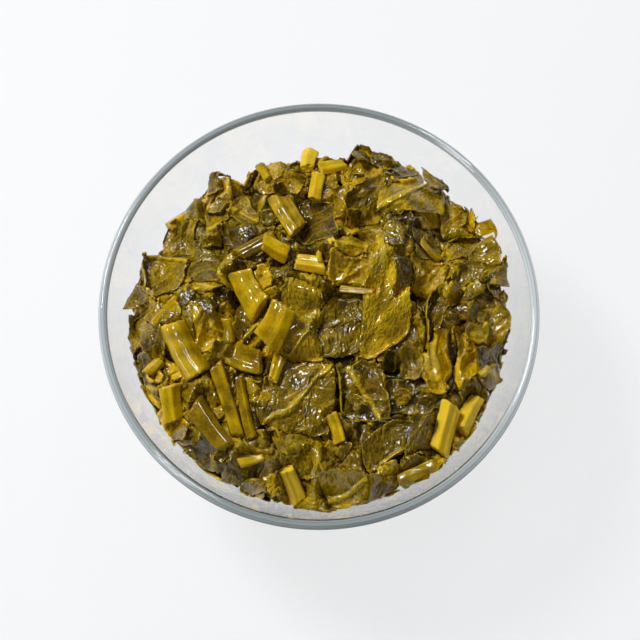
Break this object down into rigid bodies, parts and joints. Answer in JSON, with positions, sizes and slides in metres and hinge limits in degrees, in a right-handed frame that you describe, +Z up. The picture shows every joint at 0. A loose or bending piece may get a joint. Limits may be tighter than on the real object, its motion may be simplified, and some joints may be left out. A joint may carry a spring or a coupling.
{
  "type": "bowl of collard greens",
  "caption": "Clear round glass bowl heaped with cooked, chopped collard leaf pieces and short lengths of leaf stalk.",
  "frame": {"origin": "centre of the bowl's foot, on the table", "axes": "+Z up along the bowl's axis, -Y towards the viewer in the picture, +X to the picture's right"},
  "size_m": [0.18, 0.18, 0.086],
  "materials": {
    "glass": "clear, polished",
    "packed_leaf": "wet, glossy",
    "leaf": "wet, glossy",
    "stalk": "wet, satin"
  },
  "bodies": {
    "root": {"glass_bowl": "glass", "leaf_heap": "packed_leaf", "leaf_piece_01": "leaf", "leaf_piece_02": "leaf", "leaf_piece_03": "leaf", "leaf_piece_04": "leaf", "leaf_piece_05": "leaf", "leaf_piece_06": "leaf", "leaf_piece_07": "leaf", "leaf_piece_08": "leaf", "leaf_piece_09": "leaf", "leaf_piece_10": "leaf", "leaf_piece_11": "leaf", "leaf_piece_12": "leaf", "leaf_piece_13": "leaf", "leaf_piece_14": "leaf", "leaf_piece_15": "leaf", "leaf_piece_16": "leaf", "leaf_piece_17": "leaf", "leaf_piece_18": "leaf", "leaf_piece_19": "leaf", "leaf_piece_20": "leaf", "leaf_piece_21": "leaf", "leaf_piece_22": "leaf", "leaf_piece_23": "leaf", "leaf_piece_24": "leaf", "leaf_piece_25": "leaf", "leaf_piece_26": "leaf", "leaf_piece_27": "leaf", "leaf_piece_28": "leaf", "leaf_piece_29": "leaf", "leaf_piece_30": "leaf", "leaf_piece_31": "leaf", "leaf_piece_32": "leaf", "leaf_piece_33": "leaf", "leaf_piece_34": "leaf", "leaf_piece_35": "leaf", "stalk_piece_01": "stalk", "stalk_piece_02": "stalk", "stalk_piece_03": "stalk", "stalk_piece_04": "stalk", "stalk_piece_05": "stalk", "stalk_piece_06": "stalk", "stalk_piece_07": "stalk", "stalk_piece_08": "stalk", "stalk_piece_09": "stalk", "stalk_piece_10": "stalk", "stalk_piece_11": "stalk", "stalk_piece_12": "stalk", "stalk_piece_13": "stalk", "stalk_piece_14": "stalk", "stalk_piece_15": "stalk", "stalk_piece_16": "stalk", "stalk_piece_17": "stalk", "stalk_piece_18": "stalk", "stalk_piece_19": "stalk", "stalk_piece_20": "stalk", "stalk_piece_21": "stalk", "stalk_piece_22": "stalk", "stalk_piece_23": "stalk"}
  },
  "joints": []
}
